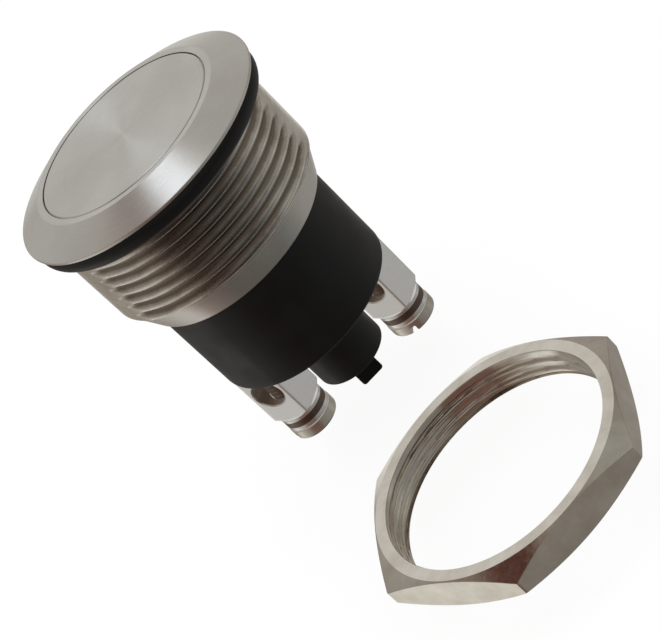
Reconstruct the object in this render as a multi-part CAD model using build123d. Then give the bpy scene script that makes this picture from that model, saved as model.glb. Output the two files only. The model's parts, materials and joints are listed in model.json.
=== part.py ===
from build123d import *
from math import cos, degrees, pi, radians, sqrt, tan
import os

# A momentary push button for a metal panel, with its panel nut taken off and lying beside it.
# All sizes are in millimetres. The origin is on the switch's axis, at the upper end of the
# thread, where the panel's front face meets the sealing ring. +Z points out of the button's
# face, and the two terminals lie along X.

# Bezel: flange and threaded barrel turned from one bar
thread_radius = 11.0
thread_length = 8.9
flange_overhang = 1.5
flange_height = 1.65
rim_height = 0.25
rim_rounding = 0.1
face_ring_width = 0.65
relief_depth = 0.55
barrel_wall = 1.88
end_lip = 0.5
web_thickness = 3.0
web_ledge = 1.2
mouth_rounding = 0.08

# Button: cap and stem turned from one bar
button_radius = 8.85
button_gap = 0.08
cap_thickness = 2.2
cap_rounding = 0.12
press_travel = 1.5
pocket_clearance = 0.2
stem_radius = 3.0
stem_lip = 0.3
stem_clearance = 0.03

# Rings
seal_section = 1.8
button_seal_section = 0.75
button_seal_depth = 0.4
clip_thickness = 0.6
clip_play = 0.05
clip_groove_depth = 0.5
clip_band = 1.0
clip_band_gap = 1.1
clip_lug_width = 1.4
clip_room_margin = 0.3

# Housing: moulded body, round boss and tab
housing_clearance = 0.02
housing_floor = 6.08
housing_rounding = 0.5
boss_clearance = 0.05
boss_length = 7.0
boss_rounding = 0.3
tab_width = 2.37
tab_depth = 4.2
tab_height = 2.0
tab_rounding = 0.3
cover_thickness = 1.2
cover_ledge = 0.8
chamber_wall = 1.6

# Plunger and what it carries
plunger_top_radius = 2.0
plunger_shoulder_radius = 2.6
plunger_shoulder_height = 1.0
plunger_shaft_radius = 1.2
plunger_tip_chamfer = 0.25
slide_clearance = 0.05
shoulder_headroom = 0.2
retainer_thickness = 0.6
retainer_radius = 1.85
guide_depth = 2.3
guide_reserve = 0.9

# Springs
contact_spring_length = 2.4
contact_spring_wire = 0.3
contact_spring_turns = 2.5
return_spring_length = 5.0
return_spring_wire = 0.4
return_spring_turns = 4.5
spring_play = 0.15
wire_sides = 8
spring_end_play = 0.02
well_clearance = 0.3

# Contacts
bridge_thickness = 0.6
bridge_hub_radius = 2.0
bridge_arm_width = 1.8
bridge_play = 0.02
bridge_end_margin = 0.9
tip_radius = 0.7
tip_height = 0.45
contact_gap = 0.8
closed_clearance = 0.02
plate_thickness = 0.8
plate_width = 3.2
plate_margin = 0.1
tip_to_rivet = 0.08

# Terminal pillars: square bars turned down at both ends
post_side = 3.9
post_inset = 0.02
post_turn = 45
shank_radius = 1.1
rivet_pin_radius = 0.6
rivet_head_radius = 0.95
rivet_head_height = 0.35
wire_hole_radius = 1.5
wire_hole_drop = 2.9
collar_radius = 2.35
collar_height = 0.87
collar_cone_height = 0.5
thread_core_clearance = 0.05

# Terminal screws
screw_radius = 1.25
head_radius = 2.35
head_height = 1.2
head_rounding = 0.3
head_gap = 0.03
slot_width = 0.65
slot_depth = 0.7
slot_turn_left = 8
slot_turn_right = 67
screw_tip_chamfer = 0.3
screw_tip_gap = 0.15

# Panel nut, lying on the surface that the switch stands on
nut_flats = 23.2
nut_sides = 6
nut_thickness = 3.2
nut_bore_radius = 10.4
nut_bore_chamfer = 0.15
nut_face_margin = 0.12
nut_chamfer_angle = 27
nut_turn = 5.5
nut_offset_x = 1.73
nut_offset_y = -28.05

# Heights of the bezel and the button
seat_z = seal_section
face_z = seat_z + flange_height
cap_bottom_z = face_z - cap_thickness
web_top_z = cap_bottom_z - press_travel - pocket_clearance
web_bottom_z = web_top_z - web_thickness
clip_top_z = web_bottom_z - clip_play
clip_bottom_z = clip_top_z - clip_thickness
stem_end_z = clip_bottom_z - stem_lip
socket_z = stem_end_z - press_travel - clip_room_margin
barrel_chamfer = barrel_wall - end_lip
barrel_end_z = -thread_length - barrel_chamfer

# Radii of the bezel and the button
flange_radius = thread_radius + flange_overhang
groove_radius = thread_radius - relief_depth
pocket_radius = button_radius + button_gap
face_ring_radius = pocket_radius + face_ring_width
socket_radius = thread_radius - barrel_wall
clip_room_radius = socket_radius - web_ledge
guide_radius = stem_radius + stem_clearance
clip_groove_radius = stem_radius - clip_groove_depth
button_seal_groove_radius = stem_radius - button_seal_section
button_seal_top_z = web_top_z - button_seal_depth

# Heights inside the housing
housing_radius = socket_radius - housing_clearance
cover_bottom_z = socket_z - cover_thickness
shoulder_top_z = cover_bottom_z - shoulder_headroom
shoulder_bottom_z = shoulder_top_z - plunger_shoulder_height
bridge_top_z = shoulder_bottom_z - contact_spring_length
bridge_bottom_z = bridge_top_z - bridge_thickness
retainer_top_z = bridge_bottom_z - bridge_play
retainer_bottom_z = retainer_top_z - retainer_thickness
well_floor_z = retainer_bottom_z - return_spring_length
plate_top_z = bridge_bottom_z - 2 * tip_height - contact_gap - closed_clearance
ledge_z = plate_top_z - plate_thickness
housing_bottom_z = ledge_z - housing_floor
boss_bottom_z = housing_bottom_z - boss_length
stand_z = boss_bottom_z - tab_height
plunger_end_z = well_floor_z - guide_depth
guide_end_z = plunger_end_z - press_travel - guide_reserve

# Places across the housing
cover_radius = clip_room_radius + cover_ledge / 2
chamber_radius = housing_radius - chamber_wall
post_corner = post_side * sqrt(2) / 2
post_x = housing_radius - post_corner - post_inset
boss_radius = post_x - post_corner - boss_clearance
tip_x = post_x - rivet_head_radius - tip_radius - tip_to_rivet
return_spring_radius = plunger_shaft_radius + spring_play + return_spring_wire / 2
contact_spring_radius = plunger_shaft_radius + spring_play + contact_spring_wire / 2
well_radius = return_spring_radius + return_spring_wire / 2 + well_clearance

# Heights of the terminals
post_bottom_z = stand_z + head_height + head_gap
collar_top_z = post_bottom_z + collar_height
wire_hole_z = housing_bottom_z - wire_hole_drop
screw_tip_z = wire_hole_z + wire_hole_radius - screw_tip_gap
screw_head_top_z = post_bottom_z - head_gap


def turned(*points):
    """Solid of revolution about Z of a closed outline of (radius, height) points."""
    outline = Polyline(*[(radius, 0, height) for radius, height in points], close=True)
    return revolve(make_face(outline), Axis.Z)


def rod(radius, low_z, high_z, x=0.0):
    """Upright cylinder between two heights."""
    base = (Align.CENTER, Align.CENTER, Align.MIN)
    return Pos(x, 0, low_z) * Cylinder(radius, high_z - low_z, align=base)


def tube(outer, inner, low_z, high_z):
    """Upright ring between two heights."""
    return rod(outer, low_z, high_z) - rod(inner, low_z, high_z)


def slab(width, depth, low_z, high_z, x=0.0, y=0.0):
    """Upright block centred on (x, y) between two heights."""
    base = (Align.CENTER, Align.CENTER, Align.MIN)
    return Pos(x, y, low_z) * Box(width, depth, high_z - low_z, align=base)


def round_edges_at(solid, height):
    """The solid's circular edges that lie at one height."""
    circles = solid.edges().filter_by(GeomType.CIRCLE)
    return circles.filter_by_position(Axis.Z, height, height)


def outermost(edges):
    """The edge with the largest radius in a list of circles."""
    return max(edges, key=lambda edge: edge.radius)


def coil(mean_radius, wire, turns, low_z, high_z):
    """Helical spring whose end turns touch both heights, its wire drawn with a few flat sides."""
    rise = high_z - low_z - wire
    path = Helix(pitch=rise / turns, height=rise, radius=mean_radius)
    half_side = degrees(pi / wire_sides)
    section = RegularPolygon(wire / 2, wire_sides, major_radius=False, rotation=half_side)
    section = Plane(origin=path @ 0, z_dir=path % 0) * section
    return Pos(0, 0, low_z + wire / 2) * sweep(section, path=path, is_frenet=True)


def make_bezel():
    """Flange, seal groove, threaded barrel, guide web and housing socket in one turned piece."""
    body = turned(
        (pocket_radius, face_z),
        (face_ring_radius, face_z),
        (flange_radius, seat_z + rim_height),
        (flange_radius, seat_z),
        (groove_radius, seat_z),
        (groove_radius, 0),
        (thread_radius, 0),
        (thread_radius, -thread_length),
        (thread_radius - barrel_chamfer, barrel_end_z),
        (socket_radius, barrel_end_z),
        (socket_radius, socket_z),
        (clip_room_radius, socket_z),
        (clip_room_radius, web_bottom_z),
        (guide_radius, web_bottom_z),
        (guide_radius, web_top_z),
        (pocket_radius, web_top_z),
    )
    rim_low = outermost(round_edges_at(body, seat_z))
    rim_high = outermost(round_edges_at(body, seat_z + rim_height))
    body = fillet([rim_low, rim_high], rim_rounding)
    mouth = min(round_edges_at(body, face_z), key=lambda edge: edge.radius)
    return fillet(mouth, mouth_rounding)


def make_button():
    """Cap with its stem, and the stem's grooves for the sealing ring and the clip."""
    seal_low_z = button_seal_top_z - button_seal_section
    body = turned(
        (0, face_z),
        (button_radius, face_z),
        (button_radius, cap_bottom_z),
        (stem_radius, cap_bottom_z),
        (stem_radius, button_seal_top_z),
        (button_seal_groove_radius, button_seal_top_z),
        (button_seal_groove_radius, seal_low_z),
        (stem_radius, seal_low_z),
        (stem_radius, clip_top_z),
        (clip_groove_radius, clip_top_z),
        (clip_groove_radius, clip_bottom_z),
        (stem_radius, clip_bottom_z),
        (stem_radius, stem_end_z),
        (0, stem_end_z),
    )
    return fillet(round_edges_at(body, face_z), cap_rounding)


def make_seal(inner_radius, section, top_z):
    """Rubber ring of round section around a groove."""
    return Pos(0, 0, top_z - section / 2) * Torus(inner_radius + section / 2, section / 2)


def make_clip():
    """Spring clip with three lugs that grip the stem's groove and one open side."""
    band_inner = clip_groove_radius + clip_band_gap
    band = tube(band_inner + clip_band, band_inner, clip_bottom_z, clip_top_z)
    reach = tube(band_inner, clip_groove_radius, clip_bottom_z, clip_top_z)
    cross = slab(2 * band_inner, clip_lug_width, clip_bottom_z, clip_top_z)
    cross += slab(clip_lug_width, band_inner, clip_bottom_z, clip_top_z, y=band_inner / 2)
    mouth_width = 2 * clip_groove_radius
    mouth_depth = band_inner + clip_band
    mouth_y = -clip_lug_width / 2 - mouth_depth / 2
    mouth = slab(mouth_width, mouth_depth, clip_bottom_z, clip_top_z, y=mouth_y)
    return band + (reach & cross) - mouth


def make_housing():
    """Moulded body with the contact chamber, the plunger's guide, the boss and the tab."""
    body = rod(housing_radius, housing_bottom_z, socket_z)
    body = fillet(round_edges_at(body, housing_bottom_z), housing_rounding)
    boss = rod(boss_radius, boss_bottom_z, housing_bottom_z)
    boss = fillet(round_edges_at(boss, boss_bottom_z), boss_rounding)
    tab = slab(tab_width, tab_depth, stand_z, boss_bottom_z)
    tab_edges = tab.edges().filter_by(Axis.Y).group_by(Axis.Z)[0]
    body += boss + fillet(tab_edges, tab_rounding)
    body -= rod(cover_radius, cover_bottom_z, socket_z)
    body -= rod(chamber_radius, ledge_z, cover_bottom_z)
    body -= rod(well_radius, well_floor_z, ledge_z)
    body -= rod(plunger_shaft_radius + slide_clearance, guide_end_z, well_floor_z)
    for side in (-1, 1):
        body -= rod(shank_radius, housing_bottom_z, ledge_z, x=side * post_x)
    return body


def make_cover():
    """Disc that closes the chamber and guides the plunger's top."""
    return tube(cover_radius, plunger_top_radius + slide_clearance, cover_bottom_z, socket_z)


def make_plunger():
    """Moulded pusher: top shaft, shoulder above the contact spring and long lower shaft."""
    return turned(
        (0, stem_end_z),
        (plunger_top_radius, stem_end_z),
        (plunger_top_radius, shoulder_top_z),
        (plunger_shoulder_radius, shoulder_top_z),
        (plunger_shoulder_radius, shoulder_bottom_z),
        (plunger_shaft_radius, shoulder_bottom_z),
        (plunger_shaft_radius, plunger_end_z + plunger_tip_chamfer),
        (plunger_shaft_radius - plunger_tip_chamfer, plunger_end_z),
        (0, plunger_end_z),
    )


def make_retainer():
    """Push-on ring under the contact bridge, which is also the return spring's seat."""
    return tube(retainer_radius, plunger_shaft_radius, retainer_bottom_z, retainer_top_z)


def make_bridge():
    """Stamped bar: round hub that slides on the plunger's shaft, and one arm to each side."""
    end_x = tip_x + bridge_end_margin
    arms = slab(2 * end_x, bridge_arm_width, bridge_bottom_z, bridge_top_z)
    arms &= rod(end_x, bridge_bottom_z, bridge_top_z)
    hub = rod(bridge_hub_radius, bridge_bottom_z, bridge_top_z)
    bore = rod(plunger_shaft_radius + slide_clearance, bridge_bottom_z, bridge_top_z)
    return arms + hub - bore


def make_moving_tip(side):
    """Contact rivet under one end of the bridge."""
    return rod(tip_radius, bridge_bottom_z - tip_height, bridge_bottom_z, x=side * tip_x)


def make_fixed_tip(side):
    """Contact rivet on one fixed plate."""
    return rod(tip_radius, plate_top_z, plate_top_z + tip_height, x=side * tip_x)


def make_plate(side):
    """Fixed contact plate on the chamber's ledge, with the hole for the pillar's rivet."""
    inner_x = well_radius + plate_margin
    outer_x = chamber_radius - plate_margin
    middle_x = side * (inner_x + outer_x) / 2
    strip = slab(outer_x - inner_x, plate_width, ledge_z, plate_top_z, x=middle_x)
    strip &= rod(outer_x, ledge_z, plate_top_z)
    return strip - rod(rivet_pin_radius, ledge_z, plate_top_z, x=side * post_x)


def make_post(side):
    """Square pillar: riveted shank above, turned collar below, wire hole across."""
    bar = slab(post_side, post_side, post_bottom_z, housing_bottom_z)
    envelope = turned(
        (0, housing_bottom_z),
        (post_corner, housing_bottom_z),
        (post_corner, collar_top_z + collar_cone_height),
        (collar_radius, collar_top_z),
        (collar_radius, post_bottom_z),
        (0, post_bottom_z),
    )
    post = Rot(0, 0, post_turn) * bar & envelope
    post += rod(shank_radius, housing_bottom_z, ledge_z)
    post += rod(rivet_pin_radius, ledge_z, plate_top_z)
    post += rod(rivet_head_radius, plate_top_z, plate_top_z + rivet_head_height)
    drill = Rot(0, 90, 0) * Cylinder(wire_hole_radius, 2 * post_side)
    post -= Pos(0, 0, wire_hole_z) * Rot(0, 0, post_turn) * drill
    core_top_z = wire_hole_z + wire_hole_radius
    post -= rod(screw_radius + thread_core_clearance, post_bottom_z, core_top_z)
    return Pos(side * post_x, 0, 0) * post


def make_screw(side, slot_turn):
    """Slotted screw that comes up through the pillar's end into the wire hole."""
    body = turned(
        (0, screw_tip_z),
        (screw_radius - screw_tip_chamfer, screw_tip_z),
        (screw_radius, screw_tip_z - screw_tip_chamfer),
        (screw_radius, screw_head_top_z),
        (head_radius, screw_head_top_z),
        (head_radius, stand_z),
        (0, stand_z),
    )
    body = fillet(round_edges_at(body, stand_z), head_rounding)
    slot = slab(3 * head_radius, slot_width, stand_z, stand_z + slot_depth)
    body -= Rot(0, 0, slot_turn) * slot
    return Pos(side * post_x, 0, 0) * body


def make_nut():
    """Thin hexagon nut with both faces chamfered to a circle inside its flats."""
    top_z = stand_z + nut_thickness
    corner = nut_flats / 2 / cos(pi / nut_sides)
    face_radius = nut_flats / 2 - nut_face_margin
    drop = (corner - face_radius) * tan(radians(nut_chamfer_angle))
    block = extrude(RegularPolygon(corner, nut_sides), nut_thickness)
    envelope = turned(
        (0, top_z),
        (face_radius, top_z),
        (corner, top_z - drop),
        (corner, stand_z + drop),
        (face_radius, stand_z),
        (0, stand_z),
    )
    mouth_radius = nut_bore_radius + nut_bore_chamfer
    bore = turned(
        (0, top_z),
        (mouth_radius, top_z),
        (nut_bore_radius, top_z - nut_bore_chamfer),
        (nut_bore_radius, stand_z + nut_bore_chamfer),
        (mouth_radius, stand_z),
        (0, stand_z),
    )
    nut = Pos(0, 0, stand_z) * Rot(0, 0, nut_turn) * block
    return Pos(nut_offset_x, nut_offset_y, 0) * ((nut & envelope) - bore)


nodes = {
    "bezel_body": make_bezel(),
    "button": make_button(),
    "panel_seal": make_seal(groove_radius, seal_section, seat_z),
    "button_seal": make_seal(button_seal_groove_radius, button_seal_section, button_seal_top_z),
    "button_clip": make_clip(),
    "terminal_housing": make_housing(),
    "chamber_cover": make_cover(),
    "plunger": make_plunger(),
    "bridge_retainer": make_retainer(),
    "contact_bridge": make_bridge(),
    "contact_spring": coil(
        contact_spring_radius,
        contact_spring_wire,
        contact_spring_turns,
        bridge_top_z + spring_end_play,
        shoulder_bottom_z,
    ),
    "return_spring": coil(
        return_spring_radius,
        return_spring_wire,
        return_spring_turns,
        well_floor_z,
        retainer_bottom_z - spring_end_play,
    ),
    "panel_nut": make_nut(),
}
slot_turns = {"left": slot_turn_left, "right": slot_turn_right}
for name, side in (("left", -1), ("right", 1)):
    nodes[f"moving_tip_{name}"] = make_moving_tip(side)
    nodes[f"fixed_tip_{name}"] = make_fixed_tip(side)
    nodes[f"contact_plate_{name}"] = make_plate(side)
    nodes[f"terminal_post_{name}"] = make_post(side)
    nodes[f"terminal_screw_{name}"] = make_screw(side, slot_turns[name])

os.makedirs("parts", exist_ok=True)
for node, shape in nodes.items():
    export_step(shape, f"parts/{node}.step")
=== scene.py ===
import json
from math import cos, pi, radians, sin, tan

import bmesh
import bpy
import numpy as np
from mathutils import Matrix, Vector

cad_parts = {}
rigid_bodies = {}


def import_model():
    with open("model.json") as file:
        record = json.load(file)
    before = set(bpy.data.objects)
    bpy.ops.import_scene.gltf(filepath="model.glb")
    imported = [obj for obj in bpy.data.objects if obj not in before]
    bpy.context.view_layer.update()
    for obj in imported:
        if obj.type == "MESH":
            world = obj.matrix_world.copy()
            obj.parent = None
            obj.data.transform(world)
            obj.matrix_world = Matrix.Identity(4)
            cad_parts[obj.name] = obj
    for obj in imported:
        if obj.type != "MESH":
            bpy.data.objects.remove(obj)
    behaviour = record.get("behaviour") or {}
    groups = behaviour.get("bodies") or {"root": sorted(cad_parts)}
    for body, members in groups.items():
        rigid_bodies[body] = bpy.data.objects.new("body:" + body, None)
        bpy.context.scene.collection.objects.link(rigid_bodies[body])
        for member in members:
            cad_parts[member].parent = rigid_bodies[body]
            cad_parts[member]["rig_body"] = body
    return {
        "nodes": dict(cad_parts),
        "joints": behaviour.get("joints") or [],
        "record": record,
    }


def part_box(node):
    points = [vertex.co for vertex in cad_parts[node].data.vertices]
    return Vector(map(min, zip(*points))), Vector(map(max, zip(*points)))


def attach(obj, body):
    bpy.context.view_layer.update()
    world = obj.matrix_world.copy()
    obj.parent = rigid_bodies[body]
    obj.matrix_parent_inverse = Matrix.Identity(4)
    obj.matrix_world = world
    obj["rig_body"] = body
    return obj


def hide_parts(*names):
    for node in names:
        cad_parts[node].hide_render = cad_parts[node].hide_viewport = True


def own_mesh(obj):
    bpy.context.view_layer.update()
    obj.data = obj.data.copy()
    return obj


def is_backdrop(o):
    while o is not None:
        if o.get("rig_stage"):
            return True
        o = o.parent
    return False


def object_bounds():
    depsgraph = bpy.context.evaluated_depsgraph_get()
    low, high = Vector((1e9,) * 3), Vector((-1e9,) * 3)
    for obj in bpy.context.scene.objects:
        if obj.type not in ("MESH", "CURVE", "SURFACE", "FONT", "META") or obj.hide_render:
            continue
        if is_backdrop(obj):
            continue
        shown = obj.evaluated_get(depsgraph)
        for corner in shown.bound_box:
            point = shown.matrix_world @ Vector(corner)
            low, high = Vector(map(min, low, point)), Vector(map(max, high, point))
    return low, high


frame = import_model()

bl_info = {
    "name": "Panel Push Button Dresser",
    "version": (1, 0, 0),
    "blender": (4, 5, 0),
    "location": "3D View > Sidebar > Push Button",
    "description": "Skins and finishes for a round metal push button switch and its panel nut",
    "category": "Object",
}


def mm(value):
    """Millimetres to metres."""
    return value / 1000


def linear(code):
    """An sRGB hex colour as linear red, green and blue: each channel by the sRGB curve."""
    channels = np.array([int(code[i:i + 2], 16) for i in (1, 3, 5)]) / 255
    curve = np.where(channels <= 0.04045, channels / 12.92, ((channels + 0.055) / 1.055) ** 2.4)
    return tuple(float(channel) for channel in curve)


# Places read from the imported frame, in metres
BOX = {node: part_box(node) for node in frame["nodes"]}
MOUNT = {mount["name"]: mount for mount in frame["record"]["mounts"]}
CREST_RADIUS = mm(MOUNT["panel_thread"]["dims"]["r_mm"])
NUT_BORE_RADIUS = mm(MOUNT["nut_thread"]["dims"]["r_mm"])
NUT_PLACE = Vector(MOUNT["nut_thread"]["pos_m"])
WIRE_HOLE_Z = MOUNT["wire_terminal_left"]["pos_m"][2]
POST_X = MOUNT["wire_terminal_right"]["pos_m"][0]
TRAVEL = {joint["name"]: joint["range_m"][1] for joint in frame["joints"]}
# The floor lies a little below what the terminal screws reach when they are backed off
FLOOR_GAP = mm(0.1)
FLOOR_Z = BOX["terminal_housing"][0].z - TRAVEL["screw_left_back_off"] - FLOOR_GAP
SIDES = {"left": -1, "right": 1}
SHARP = radians(35)


def size(name, description, millimetres):
    """A length property whose default is given in millimetres."""
    return bpy.props.FloatProperty(
        name=name, description=description, default=mm(millimetres), unit="LENGTH", precision=5
    )


def angle(name, description, degrees):
    """An angle property whose default is given in degrees."""
    return bpy.props.FloatProperty(
        name=name, description=description, default=radians(degrees), subtype="ANGLE"
    )


def colour(name, description, code):
    """A colour property whose default is given as an sRGB hex value."""
    return bpy.props.FloatVectorProperty(
        name=name, description=description, default=linear(code), subtype="COLOR", size=3
    )


class SwitchSizes(bpy.types.PropertyGroup):
    """Lengths and angles of the skins that the frame's boxes don't give."""

    ridge_pitch: size("Ridge spacing", "Distance from one thread ridge to the next", 1.13)
    ridge_start: size("Ridge start", "Height of the first ridge over the right terminal", -1.34)
    ridge_half_flat: size("Ridge flat", "Half the width of a ridge's flat top", 0.13)
    ridge_depth: size("Ridge depth", "Depth of the thread's grooves", 0.55)
    thread_length: size("Thread length", "Length of the thread, down to the barrel's end cone", 7.6)
    end_step: size("End step", "Step in from the thread to the end cone", 0.12)
    strip_half_angle: angle("Smooth strip", "Half the angle of each unthreaded strip", 28)
    strip_taper: angle("Strip taper", "Angle over which a groove runs out beside a strip", 11)
    face_ring: size("Face ring", "Width of the flat ring round the button", 0.65)
    rim_height: size("Rim height", "Height of the flange's upright rim", 0.25)
    seal_section: size("Seal section", "Thickness of the sealing ring", 1.8)
    seal_relief: size("Seal relief", "Depth of the groove that holds the sealing ring", 0.55)
    end_lip: size("End lip", "Width of the barrel's end face", 0.5)
    cap_thickness: size("Cap thickness", "Thickness of the button's cap", 2.2)
    guide_radius: size("Guide radius", "Radius of the bore that guides the button's stem", 3.03)
    web_low: size("Web underside", "Height of the underside of the guide web", -3.45)
    web_high: size("Web top", "Height of the top of the guide web", -0.45)
    socket_z: size("Socket floor", "Height where the housing's socket starts", -6.2)
    clip_room: size("Clip room", "Radius of the room round the spring clip", 7.92)
    edge_rounding: size("Edge rounding", "Radius of the turned edges", 0.08)
    nut_margin: size("Nut face margin", "How far the nut's face circle lies inside its flats", 0.12)
    nut_flats: size("Nut flats", "Width of the nut across its flats", 23.2)
    nut_chamfer: angle("Nut chamfer", "Slope of the nut's corner chamfer", 27)
    nut_turn: angle("Nut turn", "Direction of the nut's first corner", 5.5)
    nut_groove_depth: size("Nut groove depth", "Depth of the nut's thread grooves", 0.3)
    pillar_side: size("Pillar side", "Side of the square terminal pillar", 3.9)
    collar_radius: size("Collar radius", "Radius of the turned end of a pillar", 2.3)
    collar_height: size("Collar height", "Height of the turned end of a pillar", 1.45)
    collar_cone: size("Collar cone", "Height of the cone above the turned end", 0.35)
    # A band round each pillar's collar is painted dark as shade
    collar_unshaded: size("Unshaded collar", "Height of the clean strip above the collar's band of oil", 0.3)
    collar_shade_band: size("Collar shade", "Height of the collar's band of painted shade", 0.7)
    wire_hole_radius: size("Wire hole", "Radius of a pillar's cross hole", 1.5)
    tapped_radius: size("Tapped hole", "Radius of a pillar's tapped hole", 1.3)
    screw_radius: size("Screw radius", "Radius of a terminal screw's shank", 1.25)
    screw_pitch: size("Screw pitch", "Spacing of a terminal screw's thread", 0.45)
    head_height: size("Head height", "Height of a terminal screw's head", 1.2)
    head_rounding: size("Head rounding", "Radius of a screw head's edge", 0.3)
    slot_width: size("Slot width", "Width of a screw's slot", 0.65)
    slot_depth: size("Slot depth", "Depth of a screw's slot", 0.7)
    slot_left: angle("Left slot", "Direction of the left screw's slot", 8)
    slot_right: angle("Right slot", "Direction of the right screw's slot", 67)


class SwitchColours(bpy.types.PropertyGroup):
    """Colours of the finishes."""

    steel_pale: colour("Steel, pale", "Turned stainless steel on the ridges of its marks", "#E3E0DB")
    steel_grey: colour("Steel, grey", "Turned stainless steel in the furrows of its marks", "#D2CFC9")
    # The thread's crests take the pale colour as a painted highlight, and its grooves the brown as
    # painted shade with old oil
    barrel_pale: colour("Barrel, pale", "Cut thread, on its crests as a painted highlight", "#E9E5DB")
    barrel_shade_and_oil: colour("Barrel, shade and oil", "Painted shade and old oil in the thread's grooves", "#837A6F")
    nickel_pale: colour("Nickel, pale", "Bright nickel plate", "#D6D0C5")
    nickel_grey: colour("Nickel, grey", "Nickel plate where it is thinner", "#C5BDB0")
    pillar_nickel: colour("Pillar nickel", "Satin nickel plate of the pillars", "#E9E7E3")
    screw_nickel: colour("Screw nickel", "Nickel plate of the screws", "#D8D2C6")
    # Painted shade for the wire holes, the collars' bands and the screws' shanks
    hole_shade: colour("Hole shade", "Painted shade inside the wire holes, on the collars' bands and on the screws' shanks", "#75665A")
    # Painted shade for the gap round the button, also used for the painted dark reflection on the
    # barrel's near side
    gap_shade: colour("Gap shade", "Painted shade in the gap round the button, and a painted dark reflection on the barrel's near side", "#2B2621")
    rubber: colour("Rubber", "Black nitrile rubber", "#101010")
    nylon: colour("Nylon", "Moulded black nylon", "#0C0C0B")
    nylon_grey: colour("Nylon, grey", "Moulded black nylon where it is rubbed", "#161615")
    acetal: colour("Acetal", "Natural acetal", "#DEDACB")
    brass: colour("Brass", "Stamped brass", "#C7A35A")
    silver: colour("Silver", "Silver contact rivets", "#DCDAD4")
    spring_steel: colour("Spring steel", "Drawn spring wire", "#9A968E")


def profile(*corners, steps=5, support=mm(0.03)):
    """Radius and height along a profile whose corners, each (radius, height, rounding), become arcs.

    With a and b the unit directions to the two neighbours and h half the angle between them, the
    arc's centre lies on a + b at rounding / sin h, and its ends at rounding / tan h. Points between
    follow the great-circle blend of the two end directions. A support point stands just outside
    each end, so that the flat stretches shade flat.
    """
    points = np.array([corner[:2] for corner in corners], float)
    stretches = []
    for i, (_, _, rounding) in enumerate(corners):
        if rounding == 0:
            stretches.append(points[i:i + 1])
            continue
        before = points[i - 1] - points[i]
        after = points[(i + 1) % len(points)] - points[i]
        before = before / np.linalg.norm(before)
        after = after / np.linalg.norm(after)
        half = np.arccos(np.clip(before @ after, -1, 1)) / 2
        middle = before + after
        centre = points[i] + middle / np.linalg.norm(middle) * rounding / sin(half)
        reach = rounding / tan(half)
        start = (points[i] + before * reach - centre) / rounding
        end = (points[i] + after * reach - centre) / rounding
        turn = pi - 2 * half
        share = np.linspace(0, 1, steps)[:, None]
        arc = (np.sin((1 - share) * turn) * start + np.sin(share * turn) * end) / sin(turn)
        stretches.append((points[i] + before * (reach + support))[None])
        stretches.append(centre + rounding * arc)
        stretches.append((points[i] + after * (reach + support))[None])
    return np.concatenate(stretches)


def turned(radius, height, angles, centre=(0, 0)):
    """Grid of points: (cx + r cos a, cy + r sin a, z), with a row for each step of the profile."""
    radius, height = np.broadcast_arrays(np.atleast_1d(radius), np.atleast_1d(height))
    if radius.ndim == 1:
        radius, height = radius[:, None], height[:, None]
    x = centre[0] + radius * np.cos(angles)
    y = centre[1] + radius * np.sin(angles)
    return np.stack([x, y, height + 0 * x], axis=-1)


def lathe(points, angles, centre=(0, 0)):
    """Grid of a whole profile, given as points of radius and height, turned about the centre."""
    radius, height = np.array(points).T
    return turned(radius, height, angles, centre)


def round_angles(count):
    """Evenly spaced angles round the axis."""
    return np.arange(count) * 2 * pi / count


def mesh_from_grid(name, grid, closed_rows=False, sharp=SHARP):
    """Mesh of quads between neighbouring grid points: columns close round, and rows too if asked.

    Equal points merge, so a row of radius 0 becomes a pole. Edges that turn by more than the sharp
    angle shade sharp.
    """
    rows, columns = grid.shape[:2]
    row = np.arange(rows if closed_rows else rows - 1)[:, None]
    column = np.arange(columns)[None, :]
    below = (row + 1) % rows
    beside = (column + 1) % columns
    quads = np.stack(
        [row * columns + column, row * columns + beside, below * columns + beside,
         below * columns + column], axis=-1
    ).reshape(-1)
    mesh = bpy.data.meshes.new(name)
    mesh.vertices.add(rows * columns)
    mesh.vertices.foreach_set("co", grid.reshape(-1))
    mesh.loops.add(len(quads))
    mesh.loops.foreach_set("vertex_index", quads)
    mesh.polygons.add(len(quads) // 4)
    mesh.polygons.foreach_set("loop_start", np.arange(0, len(quads), 4))
    mesh.update(calc_edges=True)
    tidy(mesh, sharp)
    return mesh


def tidy(mesh, sharp=SHARP):
    """Merges equal points, turns the faces outwards and shades smooth up to the sharp angle."""
    build = bmesh.new()
    build.from_mesh(mesh)
    bmesh.ops.remove_doubles(build, verts=build.verts, dist=mm(0.0005))
    bmesh.ops.dissolve_degenerate(build, dist=mm(0.0002), edges=build.edges)
    bmesh.ops.recalc_face_normals(build, faces=build.faces)
    build.to_mesh(mesh)
    build.free()
    mesh.polygons.foreach_set("use_smooth", np.ones(len(mesh.polygons), bool))
    mesh.set_sharp_from_angle(angle=sharp)
    mesh.update()


def new_object(name, mesh):
    """Links an object at the origin."""
    made = bpy.data.objects.new(name, mesh)
    bpy.context.scene.collection.objects.link(made)
    return made


def dress(piece, node, slot, *materials):
    """The piece takes its materials, rides on the node's body and stands for the node."""
    piece.data.materials.clear()
    for material in materials:
        piece.data.materials.append(material)
    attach(piece, frame["nodes"][node]["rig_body"])
    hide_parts(node)
    # In the photograph bright metal shows none of its neighbours. The nut still mirrors itself
    piece.visible_glossy = node == "panel_nut"


def face_centres(mesh):
    """The middles of the mesh's faces, as rows of x, y and z."""
    centres = np.zeros(len(mesh.polygons) * 3)
    mesh.polygons.foreach_get("center", centres)
    return centres.reshape(-1, 3)


def assign_materials(mesh, numbers):
    """Gives each face the material of its number."""
    mesh.polygons.foreach_set("material_index", np.asarray(numbers, np.int32))


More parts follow.
